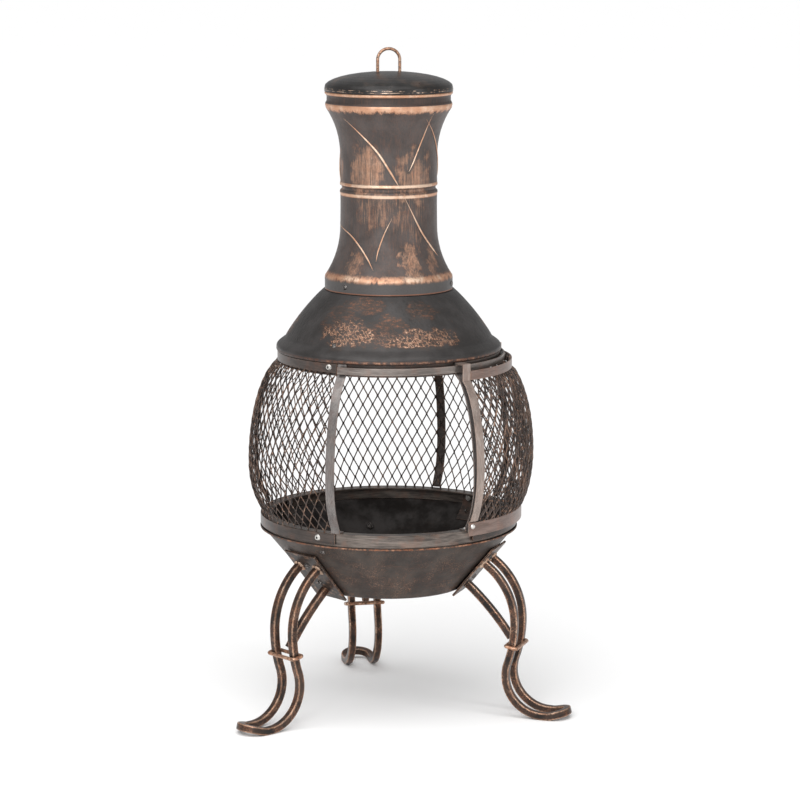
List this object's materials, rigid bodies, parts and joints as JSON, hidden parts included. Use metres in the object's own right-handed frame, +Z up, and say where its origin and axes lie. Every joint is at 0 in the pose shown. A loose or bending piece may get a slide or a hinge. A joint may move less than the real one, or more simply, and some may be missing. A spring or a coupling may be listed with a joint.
{
  "type": "chiminea",
  "caption": "Free-standing steel garden chiminea with a round mesh fire screen, sliding curved door, flared chimney, lift-off rain lid and bent-bar legs.",
  "frame": {"origin": "on the ground, in the middle of the footprint box; the chimney's axis stands at x -0.0082, y -0.0424", "axes": "+Z up, the fire opening faces -Y, +X to the right when facing the opening"},
  "size_m": [0.4538, 0.4317, 0.8904],
  "materials": {
    "chimney_steel": "charcoal lacquer dry-brushed with copper",
    "hood_steel": "charcoal lacquer with copper on a hammered texture",
    "strap_steel": "brushed brown lacquer with copper edges",
    "mesh_steel": "dark brown lacquer",
    "bowl_steel": "dark brown lacquer with a faint golden speckle",
    "leg_steel": "dark lacquer rubbed to copper on the edges",
    "handle_wire": "copper lacquer",
    "grate_steel": "sooty black",
    "fasteners": "zinc plated"
  },
  "bodies": {
    "body": {"chimney": "chimney_steel", "chimney_screws": "fasteners", "smoke_hood": "hood_steel", "hood_brackets": "hood_steel", "hood_screws": "fasteners", "screen_top_ring": "strap_steel", "screen_top_band": "strap_steel", "screen_top_bolts": "fasteners", "door_rail": "strap_steel", "rail_standoffs": "strap_steel", "opening_post_left": "strap_steel", "opening_post_right": "strap_steel", "side_strap_left": "strap_steel", "side_strap_right": "strap_steel", "rear_strap": "strap_steel", "mesh_left": "mesh_steel", "mesh_right": "mesh_steel", "screen_bottom_ring": "strap_steel", "screen_bottom_band": "strap_steel", "screen_bottom_bolts": "fasteners", "post_rivets": "fasteners", "bowl_brackets": "bowl_steel", "bowl_screws": "fasteners", "fire_bowl": "bowl_steel", "leg_plate_left": "leg_steel", "leg_bar_left": "leg_steel", "leg_brace_left": "leg_steel", "leg_collar_left": "leg_steel", "leg_bolts_left": "fasteners", "leg_plate_right": "leg_steel", "leg_bar_right": "leg_steel", "leg_brace_right": "leg_steel", "leg_collar_right": "leg_steel", "leg_bolts_right": "fasteners", "leg_plate_rear": "leg_steel", "leg_bar_rear": "leg_steel", "leg_brace_rear": "leg_steel", "leg_collar_rear": "leg_steel", "leg_bolts_rear": "fasteners"},
    "door": {"door_mesh": "mesh_steel", "door_top_band": "strap_steel", "door_bottom_band": "strap_steel", "door_leading_post": "strap_steel", "door_trailing_post": "strap_steel", "door_rivets": "fasteners"},
    "lid": {"rain_lid": "chimney_steel", "lid_handle": "handle_wire", "lid_handle_nuts": "fasteners", "lid_tabs": "chimney_steel"},
    "grate": {"fire_grate": "grate_steel"}
  },
  "joints": [
    {"name": "door_slide", "type": "hinge", "parent": "body", "child": "door", "pos_m": [-0.0082, -0.0424, 0.37], "axis": [0, 0, 1], "range_deg": [-62, 0]},
    {"name": "lid_lift", "type": "slide", "parent": "body", "child": "lid", "axis": [0, 0, 1], "range_m": [0, 0.12]},
    {"name": "grate_lift", "type": "slide", "parent": "body", "child": "grate", "axis": [0, 0, 1], "range_m": [0, 0.08]}
  ]
}
